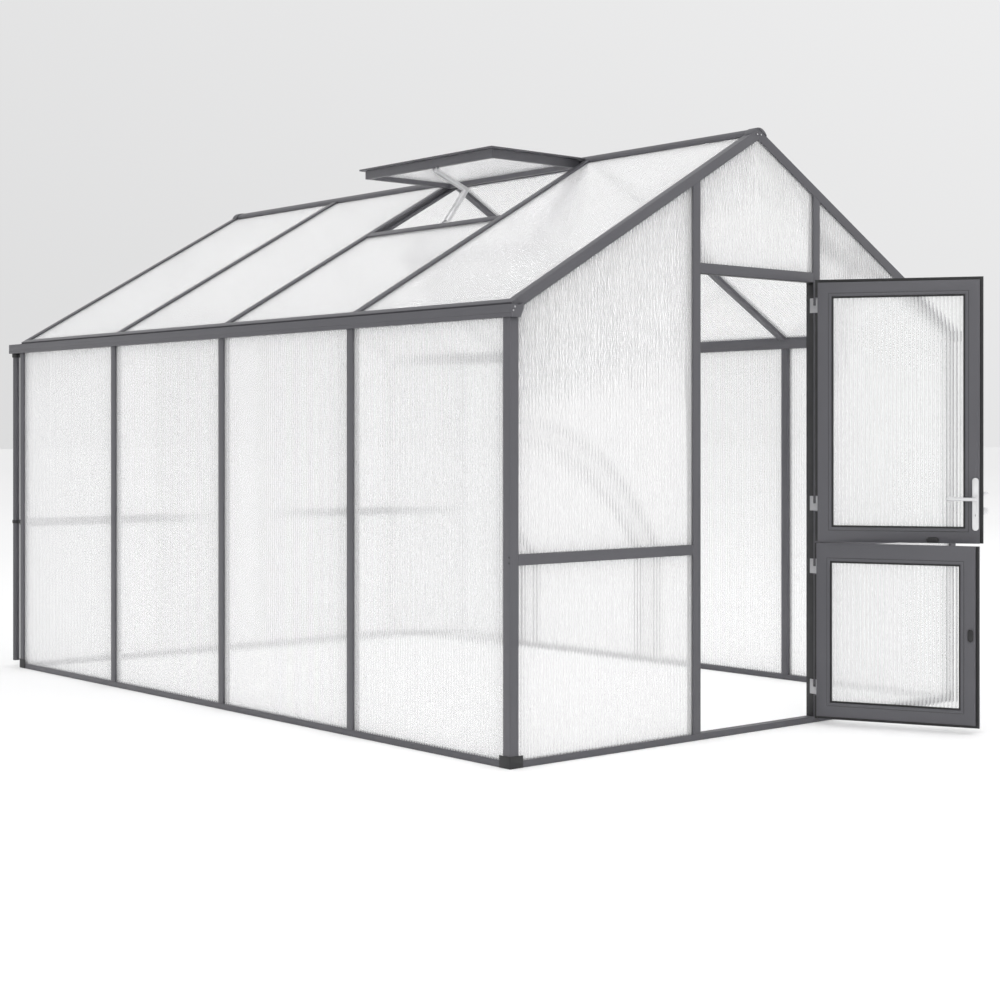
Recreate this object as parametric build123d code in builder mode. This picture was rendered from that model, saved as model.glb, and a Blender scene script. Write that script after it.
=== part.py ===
from build123d import *
import math
import os

# Greenhouse of grooved aluminium bars glazed with twin-wall sheet, with a two-part door and a roof vent.
# Millimetres, +Z up. The origin is on the ground, under the middle of the base rail that crosses the doorway,
# and the door faces -Y. Pieces are drawn about the middle of the footprint and moved there as they are saved.

os.makedirs("parts", exist_ok=True)

# House
house_width = 2600.0
house_length = 3948.0
eaves_z = 1614.0
roof_slope = 30.4
bay_count = 4
rear_post_gap = 667.0

# Bars and the sheet that slides into their grooves
bar_face = 40.0
bar_depth = 40.0
post_corner = 3.0
sheet = 16.0
cap_proud = 8.0
groove_depth = 12.0
groove_play = 0.3
sheet_end_play = 2.0

# Base, corner feet and rails
base_height = 25.0
foot_height = 45.0
foot_arm = 60.0
foot_wall = 2.0
foot_corner = 4.0
mid_rail_z = 725.0

# Roof bars and ridge
rafter_rise = 6.6
rafter_height = 38.0
ridge_half_width = 38.0
ridge_side = 12.0
ridge_crown = 21.0
ridge_web = 8.0
ridge_cap_bulge = 3.0
ridge_cap_half_width = 46.0
seat_play = 0.3
mitre_gap = 0.3

# Eaves gutter and downpipe
gutter_front = 46.0
gutter_wall = 3.0
gutter_cap = 3.0
gutter_proud = 6.0
gutter_width = 58.0
gutter_heel = 44.0
gutter_heel_rise = 36.0
gutter_floor = 15.0
gutter_ledge = 15.0
gutter_front_reach = 16.0
gutter_rear_reach = 116.0
strip_flange = 26.0
strip_wall = 3.0
sheet_overhang = 28.0
outlet_height = 20.0
outlet_radius = 21.0
outlet_from_end = 38.0
pipe_radius = 16.5
pipe_wall = 2.0
pipe_foot_z = 30.0
clip_height = 16.0
clip_wall = 3.0
clip_z = 738.0

# Doorway and door leaves
doorway_width = 667.0
lintel_top = 1867.0
split_z = 751.0
leaf_gap = 6.0
leaf_play = 5.6
leaf_lap = 7.8
sill_lap = 4.0
stile = 57.5
upper_foot_rail = 60.0
lower_head_rail = 73.0
lap_depth = 11.0
body_reach = 19.0
leaf_to_post = 7.0
pin_to_face = 2.0
upper_open = 123.0
lower_open = 114.0
bead_width = 8.0
bead_depth = 4.0
bead_play = 0.3

# Hinges
pin_radius = 3.0
knuckle_radius = 6.0
knuckle_length = 30.0
knuckle_gap = 1.0
hinge_fit = 0.05
hinge_plate = 3.0
hinge_plate_reach = 18.0
notch_play = 1.5
strap_length = 34.0
upper_hinge_heights = (910.0, 1730.0)
lower_hinge_heights = (150.0, 650.0)

# Lock, lever and turn latches
plate_width = 26.0
plate_length = 214.0
plate_thickness = 6.0
plate_bevel = 1.5
plate_centre_z = 913.0
lever_z = 934.0
lever_reach = 112.0
lever_radius = 7.0
lever_stand = 38.0
lever_bevel = 3.0
lever_play = 0.3
spindle_radius = 4.0
spindle_fit = 0.05
lock_inset = 17.0
bolt_reach = 19.0
bolt_thickness = 8.0
latch_bolt_height = 14.0
latch_bolt_z = 957.0
dead_bolt_height = 28.0
dead_bolt_z = 886.0
latch_length = 50.0
latch_width = 22.0
latch_height = 9.0
latch_bevel = 2.5
upper_latch_reach = 474.0
lower_latch_z = 392.0

# Roof vent
vent_bay = 1
vent_length = 532.0
vent_hinge_play = 3.0
vent_rise = 20.0
vent_flange = 8.0
vent_depth = 45.0
vent_lap = 20.0
vent_bar = 22.0
vent_side_play = 5.0
cross_bar_reach = 566.0
opener_y = -545.0
opener_inside = 25.0
opener_plate = 3.0
opener_arm = 14.0
opener_pin = 4.0
elbow_reach = 373.0
elbow_drop = 83.0
opener_drop = 14.0
opener_foot_rise = 22.0
cylinder_radius = 11.0
cylinder_gap = 0.3

# Places worked out from the sizes above
half_w = house_width / 2
half_l = house_length / 2
slope = math.radians(roof_slope)
ridge_z = eaves_z + rafter_rise + half_w * math.tan(slope)
bay = (house_length - bar_face) / bay_count
bar_lines = [-half_l + bar_face / 2 + k * bay for k in range(bay_count + 1)]
sheet_line = cap_proud + sheet / 2
groove_width = sheet + 2 * groove_play
bite = groove_depth - sheet_end_play
seat_t = rafter_height - cap_proud - sheet
wing_t = rafter_height - cap_proud + seat_play
sheet_end_x = half_w - sheet_overhang
door_half = doorway_width / 2
lintel_bottom = lintel_top - bar_face
mid_rail_top = mid_rail_z + bar_face
pin_x = door_half
pin_y = -half_l - leaf_to_post - lap_depth - pin_to_face
lap_ring = leaf_play + leaf_lap
leaf_start = pin_x - door_half - leaf_lap
leaf_end = pin_x + door_half + leaf_lap
flange_b = pin_to_face + lap_depth
inner_b = flange_b + body_reach
sill_line = half_l - bar_depth / 2


def save(builder, name):
    """Move a finished piece so that the origin is under the sill, name it and write it to its own file."""
    piece = builder.part.moved(Location((0, sill_line, 0)))
    piece.label = name
    export_step(piece, f"parts/{name}.step")


def roof_z(x, t=0.0):
    """Height, at distance x from the middle, of the plane that lies t above the rafters' underside."""
    return ridge_z + t / math.cos(slope) - abs(x) * math.tan(slope)


def gable_plane(y):
    """Upright plane across the house at y, drawn in X and Z, facing the door side."""
    return Plane(origin=(0, y, 0), x_dir=(1, 0, 0), z_dir=(0, -1, 0))


def slope_plane(reach):
    """Plane square to the left roof slope, reach down it, drawn along the house and out of the roof."""
    down = Vector(-math.cos(slope), 0, -math.sin(slope))
    start = Vector(0, 0, ridge_z) + down * reach
    return Plane(origin=start, x_dir=(0, -1, 0), z_dir=down)


def leaf_plane(angle, inward):
    """Plane of a door leaf at an opening angle, drawn from the hinge outward and up, facing indoors."""
    turn = math.radians(angle)
    along = (-math.cos(turn), -math.sin(turn), 0)
    indoors = (-math.sin(turn), math.cos(turn), 0)
    start = Vector(pin_x, pin_y, 0) + Vector(*indoors) * inward
    return Plane(origin=start, x_dir=along, z_dir=indoors)


def face_at(builder, angle, along, up, inward):
    """The face of the part at hand that lies nearest to a point of a door leaf."""
    point = leaf_plane(angle, inward).from_local_coords((along, up, 0))
    return builder.faces().sort_by_distance(point)[0]


def both_sides(left):
    """A piece of the left side together with its mirror image on the right."""
    with BuildPart() as pair:
        add(left.part)
        mirror(left.part, about=Plane.YZ)
    return pair


def panel(x0, x1, y0, y1, mode=Mode.ADD):
    """Rectangle between two corners, in the sketch at hand."""
    with Locations(((x0 + x1) / 2, (y0 + y1) / 2)):
        Rectangle(x1 - x0, y1 - y0, mode=mode)


def outline(*points):
    """Straight-sided face through the points, in the sketch at hand."""
    Polygon(*points, align=None)


def prism(plane, length, *points):
    """Straight-sided block, for trimming other pieces."""
    with BuildPart() as block:
        with BuildSketch(plane):
            outline(*points)
        extrude(amount=length)
    return block.part


def above_roof(t=0.0):
    """Everything above the plane that lies t over the rafters' underside."""
    far = house_width
    return prism(gable_plane(house_length), 2 * house_length,
                 (0, roof_z(0, t)), (far, roof_z(far, t)), (far, 2 * far),
                 (-far, 2 * far), (-far, roof_z(far, t)))


# Base rails: aluminium rails between the corner feet, with a groove on top for the lowest sheets
with BuildPart() as base_rails:
    side_run = house_length - 2 * (foot_arm + seat_play)
    for side in (-1, 1):
        with BuildSketch(gable_plane(side_run / 2)):
            panel(side * half_w - (side + 1) / 2 * bar_depth, side * half_w - (side - 1) / 2 * bar_depth,
                  0, base_height)
            with Locations((side * (half_w - sheet_line), base_height - groove_depth / 2)):
                Rectangle(groove_width, groove_depth, mode=Mode.SUBTRACT)
        extrude(amount=side_run)
    gable_run = house_width - 2 * (foot_arm + seat_play)
    for end in (-1, 1):
        rail_y = end * (half_l - bar_depth / 2)
        with BuildSketch(Plane.XY):
            with Locations((0, rail_y)):
                Rectangle(gable_run, bar_depth)
        extrude(amount=base_height)
    for end in (-1, 1):
        clear = door_half + bar_face - groove_depth if end < 0 else 0.0
        with BuildSketch(Plane.XY.offset(base_height)):
            for side in (-1, 1):
                with Locations((side * (clear + gable_run / 2) / 2, end * (half_l - sheet_line))):
                    Rectangle(gable_run / 2 - clear, groove_width)
        extrude(amount=-groove_depth, mode=Mode.SUBTRACT)
save(base_rails, "base_rails")

# Corner feet: moulded blocks that join the base rails and wrap round the foot of each corner post
with BuildPart() as corner_feet:
    for side in (-1, 1):
        for end in (-1, 1):
            corner_x = side * half_w
            corner_y = end * half_l
            with BuildSketch(Plane.XY):
                with Locations((corner_x - side * foot_arm / 2, corner_y - end * bar_depth / 2)):
                    Rectangle(foot_arm, bar_depth)
                with Locations((corner_x - side * bar_depth / 2, corner_y - end * foot_arm / 2)):
                    Rectangle(bar_depth, foot_arm)
            extrude(amount=base_height)
            with BuildSketch(Plane.XY) as skin_section:
                skin = foot_arm + foot_wall
                with Locations((corner_x + side * (foot_wall - skin / 2), corner_y + end * foot_wall / 2)):
                    Rectangle(skin, foot_wall)
                with Locations((corner_x + side * foot_wall / 2, corner_y + end * (foot_wall - skin / 2))):
                    Rectangle(foot_wall, skin)
                tip = (corner_x + side * foot_wall, corner_y + end * foot_wall)
                fillet(skin_section.vertices().sort_by_distance(tip)[0], foot_corner)
            extrude(amount=foot_height)
            with BuildSketch(Plane.XY.offset(base_height)):
                groove_run = foot_arm - bar_depth + groove_depth
                groove_middle = foot_arm - groove_run / 2
                with Locations((corner_x - side * groove_middle, corner_y - end * sheet_line)):
                    Rectangle(groove_run, groove_width)
                with Locations((corner_x - side * sheet_line, corner_y - end * groove_middle)):
                    Rectangle(groove_width, groove_run)
            extrude(amount=-groove_depth, mode=Mode.SUBTRACT)
save(corner_feet, "corner_feet")

# Corner posts: square bars with one groove towards the side wall and one towards the gable
with BuildPart() as corner_posts:
    for side in (-1, 1):
        for end in (-1, 1):
            with BuildSketch(Plane.XY.offset(base_height)) as post_section:
                with Locations((side * (half_w - bar_face / 2), end * (half_l - bar_face / 2))):
                    Rectangle(bar_face, bar_face)
                corner = (side * half_w, end * half_l)
                fillet(post_section.vertices().sort_by_distance(corner)[0], post_corner)
                with Locations((side * (half_w - bar_face + groove_depth / 2), end * (half_l - sheet_line))):
                    Rectangle(groove_depth, groove_width, mode=Mode.SUBTRACT)
                with Locations((side * (half_w - sheet_line), end * (half_l - bar_face + groove_depth / 2))):
                    Rectangle(groove_width, groove_depth, mode=Mode.SUBTRACT)
            extrude(amount=eaves_z - base_height)
save(corner_posts, "corner_posts")

# Wall studs: the upright bars between the sheets of both side walls, grooved on both edges
with BuildPart() as wall_studs:
    with BuildSketch(Plane.XY.offset(base_height)):
        for side in (-1, 1):
            for line in bar_lines[1:-1]:
                with Locations((side * (half_w - bar_depth / 2), line)):
                    Rectangle(bar_depth, bar_face)
                for edge in (-1, 1):
                    with Locations((side * (half_w - sheet_line),
                                    line + edge * (bar_face - groove_depth) / 2)):
                        Rectangle(groove_width, groove_depth, mode=Mode.SUBTRACT)
    extrude(amount=eaves_z - base_height)
save(wall_studs, "wall_studs")


def gable_posts(end, gap, inner_groove_from):
    """The two tall bars of a gable, grooved outward, and inward above a height, cut to the roof's slope."""
    line_y = end * (half_l - sheet_line)
    post_x = gap / 2 + bar_face / 2
    with BuildPart() as posts:
        with BuildSketch(Plane.XY.offset(base_height)):
            for side in (-1, 1):
                with Locations((side * post_x, end * (half_l - bar_depth / 2))):
                    Rectangle(bar_face, bar_depth)
                with Locations((side * (gap / 2 + bar_face - groove_depth / 2), line_y)):
                    Rectangle(groove_depth, groove_width, mode=Mode.SUBTRACT)
        extrude(amount=ridge_z - base_height)
        with BuildSketch(Plane.XY.offset(inner_groove_from)):
            for side in (-1, 1):
                with Locations((side * (gap / 2 + groove_depth / 2), line_y)):
                    Rectangle(groove_depth, groove_width)
        extrude(amount=ridge_z - inner_groove_from, mode=Mode.SUBTRACT)
        add(above_roof(), mode=Mode.SUBTRACT)
    return posts


save(gable_posts(-1, doorway_width, lintel_top - groove_depth), "door_posts")
save(gable_posts(1, rear_post_gap, base_height), "rear_gable_posts")

# Lintel: the bar over the doorway, grooved on top for the sheet above it
with BuildPart() as door_lintel:
    with BuildSketch(Plane.YZ.offset(-door_half)):
        panel(-half_l, -half_l + bar_depth, lintel_bottom, lintel_top)
        with Locations((-half_l + sheet_line, lintel_top - groove_depth / 2)):
            Rectangle(groove_width, groove_depth, mode=Mode.SUBTRACT)
    extrude(amount=doorway_width)
save(door_lintel, "door_lintel")

# Mid rails: the rails at half height in the outer panels of both gables, grooved above and below
with BuildPart() as mid_rails:
    for end, gap in ((-1, doorway_width), (1, rear_post_gap)):
        start = gap / 2 + bar_face
        run = half_w - bar_face - start
        for first in (start, -start - run):
            with BuildSketch(Plane.YZ.offset(first)):
                with Locations((end * (half_l - bar_depth / 2), mid_rail_z + bar_face / 2)):
                    Rectangle(bar_depth, bar_face)
                for edge in (-1, 1):
                    groove_z = mid_rail_z + bar_face / 2 + edge * (bar_face - groove_depth) / 2
                    with Locations((end * (half_l - sheet_line), groove_z)):
                        Rectangle(groove_width, groove_depth, mode=Mode.SUBTRACT)
            extrude(amount=run)
save(mid_rails, "mid_rails")


gutter_x = -half_w - gutter_proud
heel_x = gutter_x + gutter_width
ledge_x = heel_x - gutter_ledge
ledge_top = (roof_z(heel_x, seat_t) - seat_play, roof_z(ledge_x, seat_t) - seat_play)
floor_z = eaves_z + gutter_floor
floor_x = gutter_x + gutter_heel + (gutter_width - gutter_heel) * gutter_floor / gutter_heel_rise
gutter_start = -half_l - gutter_front_reach
gutter_stop = half_l + gutter_rear_reach
gutter_run = gutter_stop - gutter_start - 2 * gutter_cap
outlet_y = gutter_stop - outlet_from_end
outlet_x = (gutter_x + gutter_wall + ledge_x) / 2

# Eaves gutter: three bars, open above, that run out past the rear gable. The sole lies on the side wall, with a
# groove below for the wall's sheets, and it is the gutter's floor, bored for the downpipe.
with BuildPart() as left_sole:
    with BuildSketch(gable_plane(gutter_stop - gutter_cap)):
        outline((gutter_x, eaves_z), (gutter_x + gutter_heel, eaves_z),
                (floor_x, floor_z), (gutter_x, floor_z))
    extrude(amount=gutter_run)
    with BuildSketch(Plane.XY.offset(eaves_z)):
        with Locations((-half_w + sheet_line, 0)):
            Rectangle(groove_width, house_length)
    extrude(amount=groove_depth, mode=Mode.SUBTRACT)
    with BuildSketch(Plane.XY.offset(eaves_z)):
        with Locations((outlet_x, outlet_y)):
            Circle(pipe_radius - pipe_wall)
    extrude(amount=gutter_floor, mode=Mode.SUBTRACT)
save(both_sides(left_sole), "gutter_soles")

# The heel stands on the sole indoors, and its sloped top carries the lower ends of the roof bars and sheets
with BuildPart() as left_heel:
    with BuildSketch(gable_plane(gutter_stop - gutter_cap)):
        outline((ledge_x, floor_z), (floor_x, floor_z), (heel_x, eaves_z + gutter_heel_rise),
                (heel_x, ledge_top[0]), (ledge_x, ledge_top[1]))
    extrude(amount=gutter_run)
save(both_sides(left_heel), "gutter_heels")

# The front stands on the sole's outer edge
with BuildPart() as left_front:
    with BuildSketch(gable_plane(gutter_stop - gutter_cap)):
        panel(gutter_x, gutter_x + gutter_wall, floor_z, eaves_z + gutter_front)
    extrude(amount=gutter_run)
save(both_sides(left_front), "gutter_fronts")

# Gutter end caps: plates of the gutter's outline, closed over the channel
with BuildPart() as left_caps:
    for back in (gutter_start + gutter_cap, gutter_stop):
        with BuildSketch(gable_plane(back)):
            outline((gutter_x, eaves_z), (gutter_x + gutter_heel, eaves_z),
                    (heel_x, eaves_z + gutter_heel_rise),
                    (heel_x, ledge_top[0]), (ledge_x, ledge_top[1]),
                    (gutter_x + gutter_wall, eaves_z + gutter_front),
                    (gutter_x, eaves_z + gutter_front))
        extrude(amount=gutter_cap)
save(both_sides(left_caps), "gutter_end_caps")

# Downpipe: a round tube under the gutter's overhang, held to the rear corner post by a clip
pipe_top = eaves_z - outlet_height
with BuildPart() as left_pipe:
    with BuildSketch(Plane.XY.offset(pipe_foot_z)):
        with Locations((outlet_x, outlet_y)):
            Circle(pipe_radius)
            Circle(pipe_radius - pipe_wall, mode=Mode.SUBTRACT)
    extrude(amount=pipe_top - pipe_foot_z)
save(both_sides(left_pipe), "downpipes")
with BuildPart() as left_outlet:
    with BuildSketch(Plane.XY.offset(pipe_top)):
        with Locations((outlet_x, outlet_y)):
            Circle(outlet_radius)
            Circle(pipe_radius - pipe_wall, mode=Mode.SUBTRACT)
    extrude(amount=outlet_height)
save(both_sides(left_outlet), "gutter_outlets")
with BuildPart() as left_clip:
    with BuildSketch(Plane.XY.offset(clip_z)):
        with Locations((outlet_x, outlet_y)):
            Circle(pipe_radius + seat_play + clip_wall)
        panel(outlet_x - clip_wall, outlet_x + clip_wall, half_l, outlet_y)
        with Locations((outlet_x, half_l + clip_wall / 2)):
            Rectangle(bar_face - 2 * clip_wall, clip_wall)
        with Locations((outlet_x, outlet_y)):
            Circle(pipe_radius + seat_play, mode=Mode.SUBTRACT)
    extrude(amount=clip_height)
save(both_sides(left_clip), "downpipe_clips")


def roof_bar_section(line, faces, under_groove=None):
    """Section of a roof bar at a place along the house, grooved on the faces named for its sheets."""
    with Locations((-line, rafter_height / 2)):
        Rectangle(bar_face, rafter_height)
    for face in faces:
        with Locations((-line - face * (bar_face - groove_depth) / 2, seat_t + sheet / 2)):
            Rectangle(groove_depth, groove_width, mode=Mode.SUBTRACT)
    if under_groove is not None:
        with Locations((-under_groove, groove_depth / 2)):
            Rectangle(groove_width, groove_depth, mode=Mode.SUBTRACT)


sheet_end_reach = sheet_end_x / math.cos(slope)
cap_end_reach = sheet_end_reach - strip_flange - seat_play


def gutter_room():
    """Room that the left bars leave for the gutter's heel, so that they seat on its sloped top."""
    heel = -heel_x - seat_play
    return prism(gable_plane(house_length), 2 * house_length,
                 (-heel, 0), (-heel, roof_z(heel, seat_t)), (-house_width, roof_z(house_width, seat_t)),
                 (-house_width, 0))


def strip_room():
    """Room above the sheets that the left bars' caps leave for the eaves strip."""
    start = cap_end_reach * math.cos(slope)
    under = wing_t - seat_play
    lift = (rafter_height + bar_face) * math.sin(slope)
    return prism(gable_plane(house_length), 2 * house_length,
                 (-start - under * math.sin(slope), roof_z(start, 0) + under * math.cos(slope)),
                 (-start - under * math.sin(slope) - lift, roof_z(start, 0) + under * math.cos(slope)
                  + lift / math.tan(slope)),
                 (-house_width, house_width),
                 (-house_width, roof_z(house_width, under)))


def past_middle(half_gap):
    """Everything on the right of an upright plane just left of the house's middle."""
    return prism(gable_plane(house_length), 2 * house_length,
                 (-half_gap, 0), (house_width, 0),
                 (house_width, 2 * house_width), (-half_gap, 2 * house_width))


def under_ridge_wing():
    """Room that the left bars' caps leave for the ridge's wing."""
    wing_x = ridge_half_width + seat_play
    under = wing_t - seat_play
    return prism(gable_plane(half_l), house_length,
                 (0, roof_z(0, under)), (0, ridge_z + house_width), (-wing_x, ridge_z + house_width),
                 (-wing_x, roof_z(wing_x, under)))


def left_barge(end):
    """The sloped bar along one side of a gable, grooved below for the gable's sheet."""
    line = end * (half_l - bar_face / 2)
    with BuildPart() as barge:
        with BuildSketch(slope_plane(-bar_face)):
            roof_bar_section(line, (-end,), end * (half_l - sheet_line))
        extrude(amount=sheet_end_reach + bar_face)
        add(past_middle(mitre_gap), mode=Mode.SUBTRACT)
        add(gutter_room(), mode=Mode.SUBTRACT)
        add(strip_room(), mode=Mode.SUBTRACT)
    return barge


save(both_sides(left_barge(-1)), "front_barge_bars")
save(both_sides(left_barge(1)), "rear_barge_bars")

# Roof bars: grooved bars between the sheets, from the ridge's web to the gutter's heel
with BuildPart() as left_roof_bars:
    for line in bar_lines[1:-1]:
        with BuildSketch(slope_plane(0)):
            roof_bar_section(line, (-1, 1))
        extrude(amount=sheet_end_reach)
    add(past_middle(ridge_web + seat_play), mode=Mode.SUBTRACT)
    add(under_ridge_wing(), mode=Mode.SUBTRACT)
    add(gutter_room(), mode=Mode.SUBTRACT)
    add(strip_room(), mode=Mode.SUBTRACT)
save(both_sides(left_roof_bars), "roof_bars")

# Eaves strip: a folded strip that covers the lower ends of the sheets and drips into the gutter
with BuildPart() as left_eaves_strip:
    with BuildSketch(Plane(origin=(0, half_l, ridge_z), x_dir=(-math.cos(slope), 0, -math.sin(slope)),
                           z_dir=(0, 1, 0))):
        outline((sheet_end_reach - strip_flange, wing_t), (sheet_end_reach - strip_flange, rafter_height),
                (sheet_end_reach + strip_wall, rafter_height), (sheet_end_reach + strip_wall, seat_t),
                (sheet_end_reach + seat_play, seat_t), (sheet_end_reach + seat_play, wing_t))
    extrude(amount=-house_length)
save(both_sides(left_eaves_strip), "eaves_strips")

# Ridge: a beam with a web between the slopes, wings over the sheets' upper ends and a rounded crown
barge_inner = half_l - bar_face - seat_play
with BuildPart() as ridge:
    with BuildSketch(gable_plane(barge_inner)):
        with BuildLine():
            wing_z = roof_z(ridge_half_width, wing_t)
            crown_z = wing_z + ridge_side
            Polyline((-ridge_half_width, crown_z), (-ridge_half_width, wing_z),
                     (-ridge_web, roof_z(ridge_web, wing_t)), (-ridge_web, roof_z(ridge_web)),
                     (ridge_web, roof_z(ridge_web)), (ridge_web, roof_z(ridge_web, wing_t)),
                     (ridge_half_width, wing_z), (ridge_half_width, crown_z))
            ThreePointArc((ridge_half_width, crown_z), (0, crown_z + ridge_crown),
                          (-ridge_half_width, crown_z))
        make_face()
    extrude(amount=2 * barge_inner)
save(ridge, "ridge")

# Ridge end caps: rounded covers over the mitre of the barge bars at both gables
with BuildPart() as ridge_end_caps:
    for back in (half_l + ridge_cap_bulge, -half_l + bar_face):
        with BuildSketch(gable_plane(back)):
            with BuildLine():
                cap_x = ridge_cap_half_width
                cap_z = roof_z(cap_x, rafter_height + seat_play)
                top_z = crown_z + ridge_crown
                ThreePointArc((cap_x, cap_z), (0, top_z + ridge_cap_bulge), (-cap_x, cap_z))
                Polyline((-cap_x, cap_z), (0, roof_z(0, rafter_height + seat_play)), (cap_x, cap_z))
            make_face()
        extrude(amount=bar_face + ridge_cap_bulge)
save(ridge_end_caps, "ridge_end_caps")


def slope_sheets(first_reach):
    """The sheets of the left slope, each from its own distance below the ridge to the eaves."""
    with BuildPart() as sheets:
        for k, reach in enumerate(first_reach):
            with BuildSketch(slope_plane(reach)):
                width = bay - bar_face + 2 * bite
                with Locations((-(bar_lines[k] + bay / 2), seat_t + sheet / 2)):
                    Rectangle(width, sheet)
            extrude(amount=sheet_end_reach - reach)
    return sheets


sheet_head = (ridge_web + sheet_end_play) / math.cos(slope) + rafter_height * math.tan(slope)
with_vent = [sheet_head] * bay_count
with_vent[vent_bay] = cross_bar_reach + bar_face - bite
save(slope_sheets(with_vent), "left_roof_sheets")
plain = slope_sheets([sheet_head] * bay_count)
with BuildPart() as right_roof_sheets:
    mirror(plain.part, about=Plane.YZ)
save(right_roof_sheets, "right_roof_sheets")

# Vent cross bar: carries the upper end of the short sheet below the roof vent
vent_middle = bar_lines[vent_bay] + bay / 2
with BuildPart() as vent_cross_bar:
    with BuildSketch(Plane(origin=(0, vent_middle - (bay - bar_face) / 2, ridge_z),
                           x_dir=(-math.cos(slope), 0, -math.sin(slope)), z_dir=(0, 1, 0))):
        panel(cross_bar_reach, cross_bar_reach + bar_face, 0, rafter_height)
        panel(cross_bar_reach + bar_face - groove_depth, cross_bar_reach + bar_face,
              seat_t - groove_play, seat_t + sheet + groove_play, mode=Mode.SUBTRACT)
    extrude(amount=bay - bar_face)
save(vent_cross_bar, "vent_cross_bar")

# Wall sheets: one upright sheet to a bay, four to a side
with BuildPart() as left_wall_sheets:
    with BuildSketch(Plane.XY.offset(base_height - bite)):
        for line in bar_lines[:-1]:
            with Locations((sheet_line - half_w, line + bay / 2)):
                Rectangle(sheet, bay - bar_face + 2 * bite)
    extrude(amount=eaves_z + 2 * bite - base_height)
save(both_sides(left_wall_sheets), "wall_sheets")


def gable_sheets(end, gap, middle_foot):
    """The sheets of a gable: two in each outer panel, and one in the middle under the ridge."""
    outer_start = half_w - bar_face + bite
    outer_stop = gap / 2 + bar_face - bite
    clear_x = -heel_x - seat_play - sheet_end_play
    clear_z = eaves_z - sheet_end_play
    inner_x = gap / 2 + bite
    with BuildPart() as sheets:
        with BuildSketch(gable_plane(end * (half_l - sheet_line) + sheet / 2)):
            for side in (-1, 1):
                panel(*sorted((side * outer_start, side * outer_stop)), base_height - bite, mid_rail_z + bite)
                outline((side * outer_start, mid_rail_top - bite), (side * outer_stop, mid_rail_top - bite),
                        (side * outer_stop, roof_z(outer_stop, bite)),
                        (side * clear_x, roof_z(clear_x, bite)),
                        (side * clear_x, clear_z), (side * outer_start, clear_z))
            outline((-inner_x, middle_foot - bite), (inner_x, middle_foot - bite),
                    (inner_x, roof_z(inner_x, bite)), (0, roof_z(0, bite)), (-inner_x, roof_z(inner_x, bite)))
        extrude(amount=sheet)
    return sheets


save(gable_sheets(-1, doorway_width, lintel_top), "front_gable_sheets")
save(gable_sheets(1, rear_post_gap, base_height), "rear_gable_sheets")

# Door leaves: mitred aluminium frames whose outer flange laps over the posts, lintel and sill
body_start = leaf_start + lap_ring
body_end = leaf_end - lap_ring
glass_start = body_start + stile
glass_end = body_end - stile
sheet_b = (pin_to_face + inner_b) / 2
upper_foot = split_z + leaf_gap / 2
upper_head = lintel_bottom - leaf_play
lower_foot = base_height - sill_lap + lap_ring
lower_head = split_z - leaf_gap / 2
upper_glass = (upper_foot + upper_foot_rail, upper_head - stile)
lower_glass = (lower_foot + stile, lower_head - lower_head_rail)


def leaf_frame(angle, body, flange, glass, hinge_heights):
    """Frame of one door leaf, as a ring with an outer flange, a groove for its sheet and hinge notches."""
    with BuildPart() as frame:
        with BuildSketch(leaf_plane(angle, pin_to_face)):
            panel(body_start, body_end, *body)
            panel(glass_start, glass_end, *glass, mode=Mode.SUBTRACT)
        extrude(amount=inner_b - pin_to_face)
        with BuildSketch(leaf_plane(angle, pin_to_face)):
            panel(leaf_start, leaf_end, *flange)
            panel(glass_start, glass_end, *glass, mode=Mode.SUBTRACT)
        extrude(amount=lap_depth)
        with BuildSketch(leaf_plane(angle, sheet_b - groove_width / 2)):
            panel(glass_start - groove_depth, glass_end + groove_depth,
                  glass[0] - groove_depth, glass[1] + groove_depth)
        extrude(amount=groove_width, mode=Mode.SUBTRACT)
        with BuildSketch(leaf_plane(angle, pin_to_face)):
            for height in hinge_heights:
                notch = knuckle_length + notch_play
                panel(leaf_start - notch_play, knuckle_radius + notch_play, height - notch, height + notch)
        extrude(amount=lap_depth, mode=Mode.SUBTRACT)
    return frame


def leaf_sheet(angle, glass):
    """Sheet of one door leaf, held in its frame's groove."""
    with BuildPart() as pane:
        with BuildSketch(leaf_plane(angle, sheet_b - sheet / 2)):
            panel(glass_start - bite, glass_end + bite, glass[0] - bite, glass[1] + bite)
        extrude(amount=sheet)
    return pane


def leaf_bead(angle, glass):
    """Inner glazing bead of one door leaf, a slim ring against the sheet."""
    with BuildPart() as bead:
        with BuildSketch(leaf_plane(angle, sheet_b + sheet / 2 + bead_play)):
            panel(glass_start + bead_play, glass_end - bead_play, glass[0] + bead_play, glass[1] - bead_play)
            panel(glass_start + bead_width, glass_end - bead_width,
                  glass[0] + bead_width, glass[1] - bead_width, mode=Mode.SUBTRACT)
        extrude(amount=bead_depth)
    return bead


def leaf_hinges(angle, hinge_heights):
    """Upper knuckles of a leaf's hinges, each with a strap on the leaf's outer face."""
    with BuildPart() as hinges:
        for height in hinge_heights:
            with BuildSketch(Plane.XY.offset(height + knuckle_gap / 2)):
                with Locations((pin_x, pin_y)):
                    Circle(knuckle_radius)
            extrude(amount=knuckle_length - knuckle_gap / 2)
            with BuildSketch(leaf_plane(angle, pin_to_face - hinge_plate)):
                panel(0, strap_length, height + knuckle_gap / 2, height + knuckle_length)
            extrude(amount=hinge_plate)
            with BuildSketch(Plane.XY.offset(height)):
                with Locations((pin_x, pin_y)):
                    Circle(pin_radius + hinge_fit)
            extrude(amount=knuckle_length - hinge_plate, mode=Mode.SUBTRACT)
    return hinges


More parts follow.
